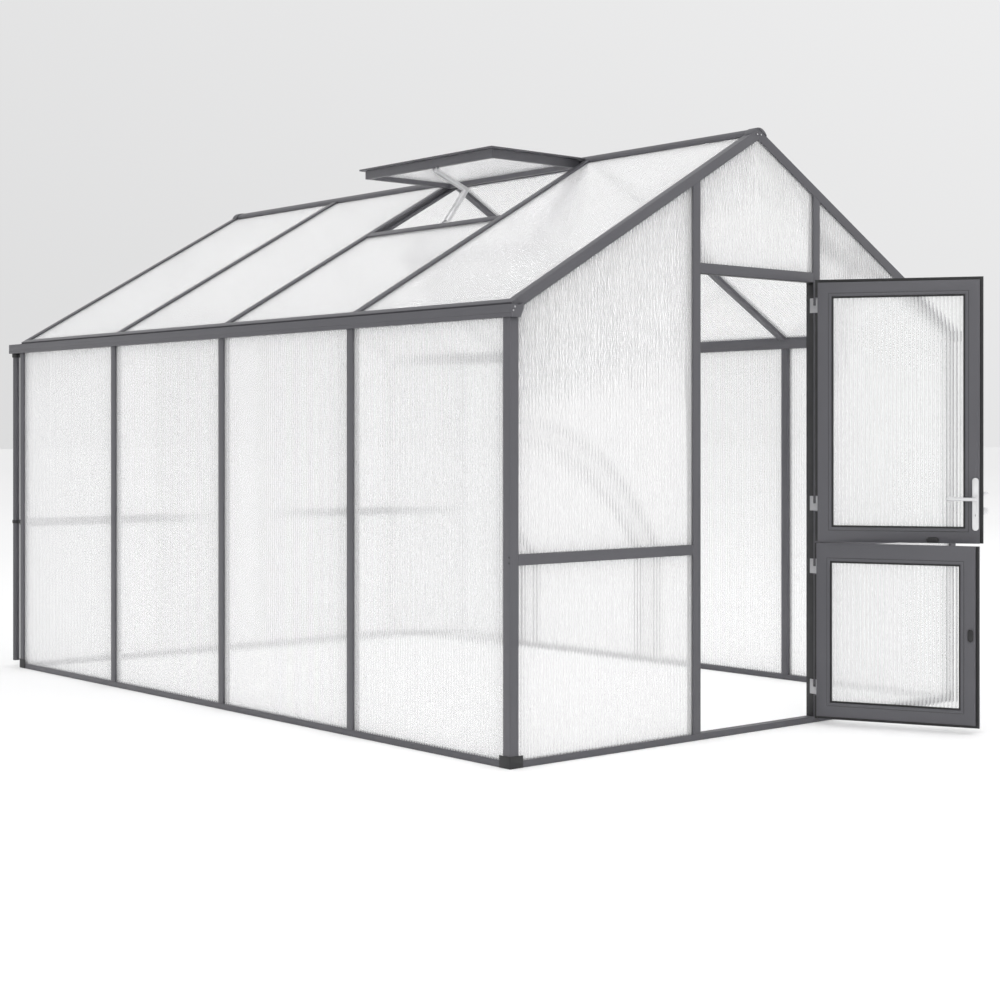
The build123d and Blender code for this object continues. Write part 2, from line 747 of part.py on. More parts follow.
upper_frame = leaf_frame(upper_open, (upper_foot, upper_head), (upper_foot, upper_head + lap_ring),
                         upper_glass, upper_hinge_heights)
lower_frame = leaf_frame(lower_open, (lower_foot, lower_head), (lower_foot - lap_ring, lower_head),
                         lower_glass, lower_hinge_heights)

# The upper leaf's free stile is bored for the lever's spindle
plate_reach = body_end - lock_inset
with BuildPart() as upper_door_frame:
    add(upper_frame.part)
    with BuildSketch(leaf_plane(upper_open, pin_to_face)):
        with Locations((plate_reach, lever_z)):
            Circle(spindle_radius + lever_play)
    extrude(amount=inner_b - pin_to_face, mode=Mode.SUBTRACT)
save(upper_door_frame, "upper_door_frame")
save(lower_frame, "lower_door_frame")
save(leaf_sheet(upper_open, upper_glass), "upper_door_sheet")
save(leaf_sheet(lower_open, lower_glass), "lower_door_sheet")
save(leaf_bead(upper_open, upper_glass), "upper_door_bead")
save(leaf_bead(lower_open, lower_glass), "lower_door_bead")
save(leaf_hinges(upper_open, upper_hinge_heights), "upper_door_hinges")
save(leaf_hinges(lower_open, lower_hinge_heights), "lower_door_hinges")

# Post hinges: lower knuckles with their pins, each on a plate screwed to the reveal of the door post
with BuildPart() as post_hinges:
    for height in upper_hinge_heights + lower_hinge_heights:
        with BuildSketch(Plane.XY.offset(height - knuckle_length)):
            with Locations((pin_x, pin_y)):
                Circle(knuckle_radius)
            panel(pin_x - hinge_plate, pin_x, pin_y, -half_l + hinge_plate_reach)
        extrude(amount=knuckle_length - knuckle_gap / 2)
        with BuildSketch(Plane.XY.offset(height - knuckle_length)):
            panel(pin_x - hinge_plate, pin_x, -half_l + knuckle_gap, -half_l + hinge_plate_reach)
        extrude(amount=2 * knuckle_length)
        with BuildSketch(Plane.XY.offset(height - knuckle_length)):
            with Locations((pin_x, pin_y)):
                Circle(pin_radius)
        extrude(amount=2 * knuckle_length - hinge_plate - knuckle_gap)
save(post_hinges, "post_hinges")

# Handle plates: long plates with round ends on both faces of the upper leaf's free stile
with BuildPart() as handle_plates:
    for inward, out in ((inner_b, plate_thickness), (pin_to_face, -plate_thickness)):
        with BuildSketch(leaf_plane(upper_open, inward)):
            with Locations((plate_reach, plate_centre_z)):
                SlotOverall(plate_length, plate_width, rotation=90)
            with Locations((plate_reach, lever_z)):
                Circle(spindle_radius + spindle_fit, mode=Mode.SUBTRACT)
        extrude(amount=out)
        front = face_at(handle_plates, upper_open, plate_reach, plate_centre_z - plate_width, inward + out)
        chamfer(front.outer_wire().edges(), plate_bevel)
save(handle_plates, "handle_plates")

# Door lever: a spindle through the stile with a round lever on each side, pointing to the hinges
with BuildPart() as door_lever:
    inner_face = inner_b + plate_thickness
    outer_face = pin_to_face - plate_thickness
    with BuildSketch(leaf_plane(upper_open, outer_face - lever_stand)):
        with Locations((plate_reach, lever_z)):
            Circle(spindle_radius)
    extrude(amount=inner_face - outer_face + 2 * lever_stand)
    for start, out in ((inner_face + lever_play, lever_stand), (outer_face - lever_play, -lever_stand)):
        with BuildSketch(leaf_plane(upper_open, start)):
            with Locations((plate_reach, lever_z)):
                Circle(lever_radius)
        extrude(amount=out)
        with BuildSketch(leaf_plane(upper_open, start + out)):
            with Locations((plate_reach - (lever_reach - lever_radius) / 2, lever_z)):
                SlotOverall(lever_reach + lever_radius, 2 * lever_radius)
        extrude(amount=math.copysign(2 * lever_radius, -out))
        grip = face_at(door_lever, upper_open, plate_reach - lever_reach / 2, lever_z, start + out)
        chamfer(grip.edges(), lever_bevel)
save(door_lever, "door_lever")

# Lock bolts: the latch bolt and the thrown dead bolt in the edge of the upper leaf's flange
with BuildPart() as lock_bolts:
    for height, tall in ((latch_bolt_z, latch_bolt_height), (dead_bolt_z, dead_bolt_height)):
        with BuildSketch(leaf_plane(upper_open, pin_to_face + (lap_depth - bolt_thickness) / 2)):
            panel(leaf_end, leaf_end + bolt_reach, height - tall / 2, height + tall / 2)
        extrude(amount=bolt_thickness)
save(lock_bolts, "lock_bolts")

# Turn latches: oval knobs indoors, one on the upper leaf's foot rail and one on the lower leaf's stile
with BuildPart() as upper_door_latch:
    with BuildSketch(leaf_plane(upper_open, inner_b)):
        latch_z = upper_foot + latch_width / 2 + notch_play
        with Locations((upper_latch_reach, latch_z)):
            SlotOverall(latch_length, latch_width)
    extrude(amount=latch_height)
    knob = face_at(upper_door_latch, upper_open, upper_latch_reach, latch_z, inner_b + latch_height)
    chamfer(knob.edges(), latch_bevel)
save(upper_door_latch, "upper_door_latch")
with BuildPart() as lower_door_latch:
    with BuildSketch(leaf_plane(lower_open, inner_b)):
        with Locations((plate_reach, lower_latch_z)):
            SlotOverall(latch_length, latch_width, rotation=90)
    extrude(amount=latch_height)
    knob = face_at(lower_door_latch, lower_open, plate_reach, lower_latch_z, inner_b + latch_height)
    chamfer(knob.edges(), latch_bevel)
save(lower_door_latch, "lower_door_latch")

# Roof vent: a deep frame that hangs from the ridge, standing level when open, with a sheet in its groove
vent_hinge_x = ridge_half_width + vent_hinge_play
vent_width = bay - 2 * vent_side_play
vent_top_z = roof_z(ridge_half_width, wing_t) + vent_rise
vent_x = -vent_hinge_x - vent_length / 2
skirt_length = vent_length - 2 * vent_lap
skirt_width = bay - bar_face - 2 * vent_side_play
with BuildPart() as roof_vent_frame:
    with BuildSketch(Plane.XY.offset(vent_top_z - vent_flange)):
        with Locations((vent_x, vent_middle)):
            Rectangle(vent_length, vent_width)
            Rectangle(skirt_length - 2 * vent_bar, skirt_width - 2 * vent_bar, mode=Mode.SUBTRACT)
    extrude(amount=vent_flange)
    with BuildSketch(Plane.XY.offset(vent_top_z - vent_depth)):
        with Locations((vent_x, vent_middle)):
            Rectangle(skirt_length, skirt_width)
            Rectangle(skirt_length - 2 * vent_bar, skirt_width - 2 * vent_bar, mode=Mode.SUBTRACT)
    extrude(amount=vent_depth - vent_flange)
    with BuildSketch(Plane.XY.offset(vent_top_z - vent_flange - groove_width)):
        with Locations((vent_x, vent_middle)):
            Rectangle(skirt_length - 2 * (vent_bar - groove_depth),
                      skirt_width - 2 * (vent_bar - groove_depth))
    extrude(amount=groove_width, mode=Mode.SUBTRACT)
save(roof_vent_frame, "roof_vent_frame")
with BuildPart() as roof_vent_sheet:
    with BuildSketch(Plane.XY.offset(vent_top_z - vent_flange - groove_play - sheet)):
        with Locations((vent_x, vent_middle)):
            Rectangle(skirt_length - 2 * vent_bar + 2 * bite, skirt_width - 2 * vent_bar + 2 * bite)
    extrude(amount=sheet)
save(roof_vent_sheet, "roof_vent_sheet")

# Vent opener: twin arms from a foot on the cross bar, through an elbow, up to the vent's outer bar
opener_outer = opener_inside + 2 * opener_plate
foot_reach = cross_bar_reach - opener_foot_rise
foot_t = rafter_height - opener_arm / 2
opener_foot = (-foot_reach * math.cos(slope) - foot_t * math.sin(slope),
               roof_z(foot_reach * math.cos(slope)) + foot_t * math.cos(slope))
opener_head = (vent_x - skirt_length / 2 + vent_bar / 2, vent_top_z - vent_depth - opener_drop)
opener_elbow = (-elbow_reach, vent_top_z - vent_depth - elbow_drop)


def arm_between(start, stop, width):
    """Flat bar with round ends between two pin centres, in the sketch at hand."""
    run = Vector(stop[0] - start[0], stop[1] - start[1])
    middle = ((start[0] + stop[0]) / 2, (start[1] + stop[1]) / 2)
    with Locations(middle):
        SlotCenterToCenter(run.length, width, rotation=math.degrees(math.atan2(run.Y, run.X)))


with BuildPart() as vent_opener:
    for cheek in (opener_y + opener_outer / 2, opener_y - opener_inside / 2):
        with BuildSketch(gable_plane(cheek)):
            arm_between(opener_foot, opener_elbow, opener_arm)
            arm_between(opener_elbow, opener_head, opener_arm)
            with Locations((opener_head[0], opener_head[1] + opener_drop / 2)):
                Rectangle(opener_arm, opener_drop)
        extrude(amount=opener_plate)
        with BuildSketch(slope_plane(foot_reach)):
            with Locations((-cheek + opener_plate / 2, foot_t)):
                Rectangle(opener_plate, opener_arm)
        extrude(amount=opener_foot_rise)
    with BuildSketch(gable_plane(opener_y + opener_outer / 2)):
        with Locations(opener_foot, opener_elbow, opener_head):
            Circle(opener_pin)
    extrude(amount=opener_outer)
save(vent_opener, "vent_opener")

# Opener cylinder: the closed tube between the lower arms that pushes the elbow when it warms
with BuildPart() as opener_cylinder:
    reach = Vector(opener_elbow[0] - opener_foot[0], 0, opener_elbow[1] - opener_foot[1])
    along = reach.normalized()
    clear = opener_pin + cylinder_gap
    start = Vector(opener_foot[0], opener_y, opener_foot[1]) + along * clear
    with BuildSketch(Plane(origin=start, x_dir=(0, 1, 0), z_dir=along)):
        Circle(cylinder_radius)
    extrude(amount=reach.length - 2 * clear)
save(opener_cylinder, "opener_cylinder")
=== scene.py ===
import math
import bpy
from mathutils import Matrix, Vector


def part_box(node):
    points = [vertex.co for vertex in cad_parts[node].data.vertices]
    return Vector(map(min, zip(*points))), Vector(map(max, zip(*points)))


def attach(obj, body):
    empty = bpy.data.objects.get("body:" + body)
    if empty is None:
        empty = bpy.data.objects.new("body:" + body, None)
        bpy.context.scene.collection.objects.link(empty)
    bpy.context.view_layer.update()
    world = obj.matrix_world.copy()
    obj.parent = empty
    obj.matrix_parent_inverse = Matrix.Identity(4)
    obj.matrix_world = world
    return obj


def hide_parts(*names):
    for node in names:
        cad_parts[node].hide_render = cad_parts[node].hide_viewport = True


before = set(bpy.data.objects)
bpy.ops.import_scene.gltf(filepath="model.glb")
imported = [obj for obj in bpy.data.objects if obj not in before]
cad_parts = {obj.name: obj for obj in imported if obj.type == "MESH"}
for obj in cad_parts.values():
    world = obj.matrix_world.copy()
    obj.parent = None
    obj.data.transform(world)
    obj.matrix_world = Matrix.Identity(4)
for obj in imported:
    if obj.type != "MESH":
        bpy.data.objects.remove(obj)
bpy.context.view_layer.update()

# Camera: level, at eye height, off the left front corner of the house, with the frame shifted as in the
# photograph. It stands 5.5 m to the left of the doorway's middle and 5.1 m in front of it, and looks to the
# right and inwards.
camera_place = Vector((-5.53935, -5.14514, 1.19134))
camera_yaw = math.radians(48.0247)
picture_size = 1000
focal_pixels = 1864.51
principal_point = (587.52, 435.42)
sensor_width = 36.0
camera_data = bpy.data.cameras.new("camera")
camera_data.sensor_width = sensor_width
camera_data.lens = sensor_width * focal_pixels / picture_size
camera_data.shift_x = (picture_size / 2 - principal_point[0]) / picture_size
camera_data.shift_y = (principal_point[1] - picture_size / 2) / picture_size
camera_data.clip_end = 400.0
camera = bpy.data.objects.new("camera", camera_data)
camera.location = camera_place
camera.rotation_euler = (math.pi / 2, 0, camera_yaw - math.pi / 2)
bpy.context.scene.collection.objects.link(camera)
bpy.context.scene.camera = camera
bpy.context.scene.view_settings.view_transform = "Standard"
# Few bounces are enough for thin clear sheets, and they keep the final render short.
cycles = bpy.context.scene.cycles
cycles.max_bounces = 8
cycles.diffuse_bounces = 2
cycles.glossy_bounces = 2
cycles.transmission_bounces = 8
cycles.transparent_max_bounces = 16
cycles.adaptive_threshold = 0.03

# Backdrop and light: an even studio sky, a little brighter overhead, seen as a pale grey wall that is
# lighter to the right, and one wide soft lamp above the left front corner.
sky_low, sky_high = 0.84, 1.20
wall_low, wall_high = 0.762, 0.872
wall_tilt = (0.10, -0.09)
lamp_place, lamp_aim = Vector((-6.0, -7.5, 9.0)), Vector((0.0, 1.5, 1.0))
lamp_size, lamp_power = 10.0, 230.0
world = bpy.data.worlds.new("studio")
bpy.context.scene.world = world
world.use_nodes = True
nodes, links = world.node_tree.nodes, world.node_tree.links
direction = nodes.new("ShaderNodeTexCoord")
split = nodes.new("ShaderNodeSeparateXYZ")
links.new(direction.outputs["Generated"], split.inputs[0])
height = nodes.new("ShaderNodeMapRange")
height.inputs["From Min"].default_value = 0.0
height.inputs["From Max"].default_value = 0.9
height.inputs["To Min"].default_value = sky_low
height.inputs["To Max"].default_value = sky_high
links.new(split.outputs["Z"], height.inputs["Value"])
wall = nodes.new("ShaderNodeMapRange")
wall.inputs["From Min"].default_value = 0.0
wall.inputs["From Max"].default_value = 0.45
wall.inputs["To Min"].default_value = wall_low
wall.inputs["To Max"].default_value = wall_high
links.new(split.outputs["Z"], wall.inputs["Value"])
lean = nodes.new("ShaderNodeVectorMath")
lean.operation = "DOT_PRODUCT"
lean.inputs[1].default_value = (wall_tilt[0], wall_tilt[1], 0.0)
links.new(direction.outputs["Generated"], lean.inputs[0])
shade = nodes.new("ShaderNodeMath")
links.new(wall.outputs["Result"], shade.inputs[0])
links.new(lean.outputs["Value"], shade.inputs[1])
path = nodes.new("ShaderNodeLightPath")
seen = nodes.new("ShaderNodeMath")
seen.operation = "MAXIMUM"
links.new(path.outputs["Is Camera Ray"], seen.inputs[0])
links.new(path.outputs["Is Transmission Ray"], seen.inputs[1])
seen_all = nodes.new("ShaderNodeMath")
seen_all.operation = "MAXIMUM"
links.new(seen.outputs[0], seen_all.inputs[0])
links.new(path.outputs["Is Glossy Ray"], seen_all.inputs[1])
level = nodes.new("ShaderNodeMix")
links.new(seen_all.outputs[0], level.inputs["Factor"])
links.new(height.outputs["Result"], level.inputs["A"])
links.new(shade.outputs[0], level.inputs["B"])
links.new(level.outputs["Result"], nodes["Background"].inputs["Strength"])
nodes["Background"].inputs["Color"].default_value = (1.0, 1.0, 1.004, 1.0)
lamp_data = bpy.data.lights.new("soft_lamp", "AREA")
lamp_data.size = lamp_size
lamp_data.energy = lamp_power
lamp = bpy.data.objects.new("soft_lamp", lamp_data)
lamp.location = lamp_place
lamp.rotation_euler = (lamp_aim - lamp_place).to_track_quat("-Z", "Y").to_euler()
bpy.context.scene.collection.objects.link(lamp)


def new_material(name):
    """A material of its own: its nodes, its links and its Principled shader."""
    made = bpy.data.materials.new(name)
    made.use_nodes = True
    return made, made.node_tree.nodes, made.node_tree.links, made.node_tree.nodes["Principled BSDF"]


# Floor: a wide white sweep with a painted fall-off of light, white round the house and greyer far behind it,
# where it meets the backdrop.
floor_half = 150.0
floor_centre = (6.0, -4.0, 0.0)
floor_painted_falloff = ((0.0, 1.0), (8.0, 1.0), (10.5, 0.92), (17.0, 0.85), (30.0, 0.80), (60.0, 0.765))
bpy.ops.object.select_all(action="DESELECT")
bpy.ops.mesh.primitive_plane_add(size=2 * floor_half, location=(0, 0, 0))
floor = bpy.context.object
floor.name = "studio_floor"
sweep, nodes, links, shader = new_material("white_sweep")
place = nodes.new("ShaderNodeTexCoord")
away = nodes.new("ShaderNodeVectorMath")
away.operation = "DISTANCE"
away.inputs[1].default_value = floor_centre
links.new(place.outputs["Object"], away.inputs[0])
far = nodes.new("ShaderNodeMapRange")
far.inputs["From Max"].default_value = floor_painted_falloff[-1][0]
links.new(away.outputs["Value"], far.inputs["Value"])
# Painted light: the ramp greys the floor with distance from a point in front of the house.
ramp = nodes.new("ShaderNodeValToRGB")
for k, (reach, shade_of) in enumerate(floor_painted_falloff):
    stop = ramp.color_ramp.elements[k] if k < 2 else ramp.color_ramp.elements.new(1.0)
    stop.position = reach / floor_painted_falloff[-1][0]
    stop.color = (shade_of, shade_of, shade_of, 1.0)
links.new(far.outputs["Result"], ramp.inputs["Fac"])
links.new(ramp.outputs["Color"], shader.inputs["Base Color"])
shader.inputs["Roughness"].default_value = 1.0
shader.inputs["Specular IOR Level"].default_value = 0.0
floor.data.materials.append(sweep)


# Glazing bars and rails: drawn aluminium with small round edges, cut to length and screwed together, powder
# coated in anthracite. The coat has a fine orange peel and is a little lighter where it is thin.
edge_radius = 0.0011
paint_dark, paint_light = (0.082, 0.081, 0.091, 1.0), (0.098, 0.097, 0.107, 1.0)
paint, nodes, links, shader = new_material("anthracite_powder_coat")
place = nodes.new("ShaderNodeTexCoord")
cloud = nodes.new("ShaderNodeTexNoise")
cloud.inputs["Scale"].default_value = 3.0
cloud.inputs["Detail"].default_value = 5.0
links.new(place.outputs["Object"], cloud.inputs["Vector"])
tone = nodes.new("ShaderNodeMix")
tone.data_type = "RGBA"
tone.inputs["A"].default_value = paint_dark
tone.inputs["B"].default_value = paint_light
links.new(cloud.outputs["Fac"], tone.inputs["Factor"])
links.new(tone.outputs["Result"], shader.inputs["Base Color"])
peel = nodes.new("ShaderNodeTexNoise")
peel.inputs["Scale"].default_value = 620.0
peel.inputs["Detail"].default_value = 3.0
links.new(place.outputs["Object"], peel.inputs["Vector"])
gloss = nodes.new("ShaderNodeMapRange")
gloss.inputs["To Min"].default_value = 0.38
gloss.inputs["To Max"].default_value = 0.52
links.new(peel.outputs["Fac"], gloss.inputs["Value"])
links.new(gloss.outputs["Result"], shader.inputs["Roughness"])
bumps = nodes.new("ShaderNodeBump")
bumps.inputs["Strength"].default_value = 0.25
bumps.inputs["Distance"].default_value = 0.0002
links.new(peel.outputs["Fac"], bumps.inputs["Height"])
links.new(bumps.outputs["Normal"], shader.inputs["Normal"])


sharp_angle = math.radians(40)
smooth_angle = math.radians(35)
weld_reach = 0.00002


def activate(piece):
    """Select one object only and make it the active one."""
    bpy.ops.object.select_all(action="DESELECT")
    piece.select_set(True)
    bpy.context.view_layer.objects.active = piece


def finish_with(piece, kind, **settings):
    """Add a modifier to a piece and apply it."""
    activate(piece)
    modifier = piece.modifiers.new(kind.lower(), kind)
    for name, value in settings.items():
        setattr(modifier, name, value)
    bpy.ops.object.modifier_apply(modifier=modifier.name)


def rounded_copy(node, name, radius, finish, body, segments=2):
    """A CAD piece with its corners joined up and its sharp edges rounded, which stands for that piece."""
    piece = bpy.data.objects.new(name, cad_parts[node].data.copy())
    bpy.context.scene.collection.objects.link(piece)
    piece.data.materials.clear()
    piece.data.materials.append(finish)
    activate(piece)
    bpy.ops.object.mode_set(mode="EDIT")
    bpy.ops.mesh.select_all(action="SELECT")
    bpy.ops.mesh.remove_doubles(threshold=weld_reach)
    bpy.ops.mesh.dissolve_limited(angle_limit=math.radians(1.0))
    bpy.ops.object.mode_set(mode="OBJECT")
    finish_with(piece, "BEVEL", width=radius, segments=segments, limit_method="ANGLE",
                angle_limit=sharp_angle, use_clamp_overlap=True)
    activate(piece)
    bpy.ops.object.shade_smooth_by_angle(angle=smooth_angle)
    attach(piece, body)
    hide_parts(node)
    return piece


for node in ("base_rails", "corner_posts", "wall_studs", "door_posts", "rear_gable_posts", "door_lintel",
             "mid_rails", "gutter_soles", "gutter_heels", "gutter_fronts", "front_barge_bars",
             "rear_barge_bars", "roof_bars", "ridge", "ridge_end_caps", "vent_cross_bar", "roof_vent_frame"):
    rounded_copy(node, node + "_coated", edge_radius, paint, "house")
thin_radius = 0.0006
for node in ("gutter_end_caps", "eaves_strips", "downpipes"):
    rounded_copy(node, node + "_coated", thin_radius, paint, "house")

# Door leaves: mitred frames of the same coated aluminium, each with an outer lip that laps over the posts.
for leaf in ("upper", "lower"):
    rounded_copy(leaf + "_door_frame", leaf + "_leaf_coated", edge_radius, paint,
                 leaf + "_leaf")

# Glazing sheets: clear twin-wall polycarbonate, 16 mm thick, with webs at the same pitch that part its
# channels. Its skins are drawn in a little between the webs, so that each channel is a weak lens and smears
# what is behind. Light passes through them almost undimmed, and a slight milkiness makes them pale.
sheet_thick = 0.016
web_pitch = 0.016
web_wall = 0.0009
skin_wall = 0.001
skin_sink = 0.0006


def let_light_through(nodes, links, surface):
    """Show a surface as it is, and let the light that falls on what stands behind it pass unchanged."""
    path = nodes.new("ShaderNodeLightPath")
    lighting = nodes.new("ShaderNodeMath")
    lighting.operation = "MAXIMUM"
    links.new(path.outputs["Is Shadow Ray"], lighting.inputs[0])
    links.new(path.outputs["Is Diffuse Ray"], lighting.inputs[1])
    passing = nodes.new("ShaderNodeBsdfTransparent")
    passing.inputs["Color"].default_value = (1.0, 1.0, 1.0, 1.0)
    switch = nodes.new("ShaderNodeMixShader")
    links.new(lighting.outputs["Value"], switch.inputs["Fac"])
    links.new(surface, switch.inputs[1])
    links.new(passing.outputs["BSDF"], switch.inputs[2])
    links.new(switch.outputs["Shader"], nodes["Material Output"].inputs["Surface"])


# The milkiness is stronger where a web meets the skin. The milk's grey also carries painted shade at each
# web, with a painted highlight line just beside it, and together they draw the sheet's fine upright lines.
web_shade_and_highlight_tones = ((0.0, 0.74), (0.10, 0.80), (0.22, 1.0), (0.50, 0.97), (0.78, 1.0), (0.90, 0.80), (1.0, 0.74))
rib_haze = ((0.0, 0.55), (0.12, 0.45), (0.24, 0.22), (0.76, 0.22), (0.88, 0.45), (1.0, 0.55))
skin, nodes, links, shader = new_material("clear_ribbed_skin")
shader.inputs["Base Color"].default_value = (1.0, 1.0, 1.0, 1.0)
shader.inputs["Roughness"].default_value = 0.008
shader.inputs["IOR"].default_value = 1.22
shader.inputs["Transmission Weight"].default_value = 1.0
shader.inputs["Coat Weight"].default_value = 0.6
shader.inputs["Coat Roughness"].default_value = 0.06
shader.inputs["Coat IOR"].default_value = 1.5
across = nodes.new("ShaderNodeUVMap")
split = nodes.new("ShaderNodeSeparateXYZ")
links.new(across.outputs["UV"], split.inputs[0])
in_channel = nodes.new("ShaderNodeMath")
in_channel.operation = "FRACT"
links.new(split.outputs["X"], in_channel.inputs[0])


def tones_over_channel(stops):
    """A grey that changes over the width of one channel, from web to web."""
    ramp = nodes.new("ShaderNodeValToRGB")
    for k, (position, grey) in enumerate(stops):
        stop = ramp.color_ramp.elements[k] if k < 2 else ramp.color_ramp.elements.new(1.0)
        stop.position = position
        stop.color = (grey, grey, grey, 1.0)
    links.new(in_channel.outputs["Value"], ramp.inputs["Fac"])
    return ramp.outputs["Color"]


# Painted shade and highlight: the milk's grey dips at each web and peaks just beside it.
painted_web_lines = tones_over_channel(web_shade_and_highlight_tones)
white = nodes.new("ShaderNodeBsdfDiffuse")
links.new(painted_web_lines, white.inputs["Color"])
glow = nodes.new("ShaderNodeBsdfTranslucent")
links.new(painted_web_lines, glow.inputs["Color"])
milky = nodes.new("ShaderNodeMixShader")
links.new(white.outputs["BSDF"], milky.inputs[1])
links.new(glow.outputs["BSDF"], milky.inputs[2])
haze = nodes.new("ShaderNodeMixShader")
links.new(tones_over_channel(rib_haze), haze.inputs["Fac"])
links.new(shader.outputs["BSDF"], haze.inputs[1])
links.new(milky.outputs["Shader"], haze.inputs[2])
let_light_through(nodes, links, haze.outputs["Shader"])
web, nodes, links, shader = new_material("clear_rib_web")
shader.inputs["Base Color"].default_value = (0.90, 0.90, 0.91, 1.0)
shader.inputs["Roughness"].default_value = 0.3
shader.inputs["Alpha"].default_value = 0.22
let_light_through(nodes, links, shader.outputs["BSDF"])


def pick(piece, wanted):
    """Select in edit mode only the vertices whose place passes the test."""
    bpy.ops.object.mode_set(mode="OBJECT")
    mesh = piece.data
    for items in (mesh.vertices, mesh.edges, mesh.polygons):
        items.foreach_set("select", [False] * len(items))
    for vertex in mesh.vertices:
        vertex.select = wanted(vertex.co)
    bpy.ops.object.mode_set(mode="EDIT")
    bpy.ops.mesh.select_mode(type="VERT")


def twin_wall(width, height, cuts=()):
    """A sheet about the middle of its outer face: that face looks to -Y, the channels run along Z."""
    channels = round(width / web_pitch)
    step = width / channels
    bpy.ops.object.select_all(action="DESELECT")
    bpy.ops.mesh.primitive_grid_add(x_subdivisions=4 * channels, y_subdivisions=1, size=1,
                                    rotation=(math.pi / 2, 0, 0))
    slab = bpy.context.object
    slab.scale = (width, height, 1)
    bpy.ops.object.transform_apply(location=True, rotation=True, scale=True)
    for corner in slab.data.uv_layers.active.data:
        corner.uv.x *= channels
    bpy.ops.object.mode_set(mode="EDIT")
    bpy.ops.mesh.select_all(action="SELECT")
    bpy.ops.mesh.extrude_region_move(TRANSFORM_OT_translate={"value": (0, sheet_thick, 0)})

    def quarter(place):
        return round((place.x + width / 2) / step * 4) % 4

    for face_y, inward in ((0.0, 1), (sheet_thick, -1)):
        for depth, columns in ((0.75 * skin_sink, (1, 3)), (skin_sink, (2,))):
            pick(slab, lambda place: abs(place.y - face_y) < skin_sink and quarter(place) in columns)
            bpy.ops.transform.translate(value=(0, inward * depth, 0))
    bpy.ops.mesh.select_all(action="SELECT")
    bpy.ops.mesh.normals_make_consistent(inside=False)
    bpy.ops.object.mode_set(mode="OBJECT")
    bpy.ops.object.shade_smooth_by_angle(angle=sharp_angle)
    slab.data.materials.append(skin)

    bpy.ops.object.select_all(action="DESELECT")
    bpy.ops.mesh.primitive_cube_add(size=1, location=(-width / 2 + step, sheet_thick / 2, 0))
    webs = bpy.context.object
    webs.scale = (web_wall, sheet_thick - 2 * skin_wall, height - 2 * skin_wall)
    bpy.ops.object.transform_apply(location=True, rotation=True, scale=True)
    finish_with(webs, "ARRAY", count=channels - 1, use_relative_offset=False,
                use_constant_offset=True, constant_offset_displace=(step, 0, 0))
    webs.data.materials.append(web)
    for part in (slab, webs):
        for point, normal in cuts:
            activate(part)
            bpy.ops.object.mode_set(mode="EDIT")
            bpy.ops.mesh.select_all(action="SELECT")
            bpy.ops.mesh.bisect(plane_co=point, plane_no=normal, use_fill=True, clear_outer=True)
            bpy.ops.object.mode_set(mode="OBJECT")
    activate(slab)
    webs.select_set(True)
    bpy.ops.object.join()
    return slab


def put(piece, matrix):
    """Move a piece's mesh to its place, with its object left at the origin."""
    piece.data.transform(matrix)
    piece.data.update()


def glaze(node, name, sheets, body):
    """Join the sheets of one CAD piece, hand them to their body and let them stand for that piece."""
    activate(sheets[0])
    for sheet in sheets[1:]:
        sheet.select_set(True)
    bpy.ops.object.join()
    whole = bpy.context.object
    whole.name = name
    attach(whole, body)
    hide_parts(node)


# Wall sheets: four to a side, each standing in the grooves of two studs, the base rail and the eaves gutter.
sheet_gap = 0.020
bays = 4
low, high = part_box("wall_sheets")
width = (high[1] - low[1] - (bays - 1) * sheet_gap) / bays
made = []
for outer_x, turn in ((low[0], -90), (high[0], 90)):
    for bay in range(bays):
        sheet = twin_wall(width, high[2] - low[2])
        middle = Vector((outer_x, low[1] + width / 2 + bay * (width + sheet_gap), (low[2] + high[2]) / 2))
        put(sheet, Matrix.Translation(middle) @ Matrix.Rotation(math.radians(turn), 4, "Z"))
        made.append(sheet)
glaze("wall_sheets", "wall_glazing", made, "house")

# Roof sheets: four to a slope, from under the ridge's wings to the eaves strip. The second one on the left
# stops below the vent's cross bar.
slope = math.radians(30.4)
cross_bar_reach, sheet_start = 0.596, 0.0339
for side, sign in (("left", -1), ("right", 1)):
    low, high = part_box(side + "_roof_sheets")
    width = (high[1] - low[1] - (bays - 1) * sheet_gap) / bays
    down = Vector((sign * math.cos(slope), 0, -math.sin(slope)))
    out = Vector((sign * math.sin(slope), 0, math.cos(slope)))
    span_x = high[0] - low[0] - sheet_thick * math.sin(slope)
    full = span_x / math.cos(slope)
    foot = Vector((low[0] if side == "left" else high[0], 0, low[2] + sheet_thick * math.cos(slope)))
    made = []
    for bay in range(bays):
        length = full
        if side == "left" and bay == 1:
            length = full - (cross_bar_reach - sheet_start)
        sheet = twin_wall(width, length)
        middle = foot - down * length / 2
        middle.y = low[1] + width / 2 + bay * (width + sheet_gap)
        tilt = Matrix.Rotation(-sign * (math.pi / 2 - slope), 4, "Y")
        put(sheet, Matrix.Translation(middle) @ tilt @ Matrix.Rotation(sign * math.pi / 2, 4, "Z"))
        made.append(sheet)
    glaze(side + "_roof_sheets", side + "_roof_glazing", made, "house")

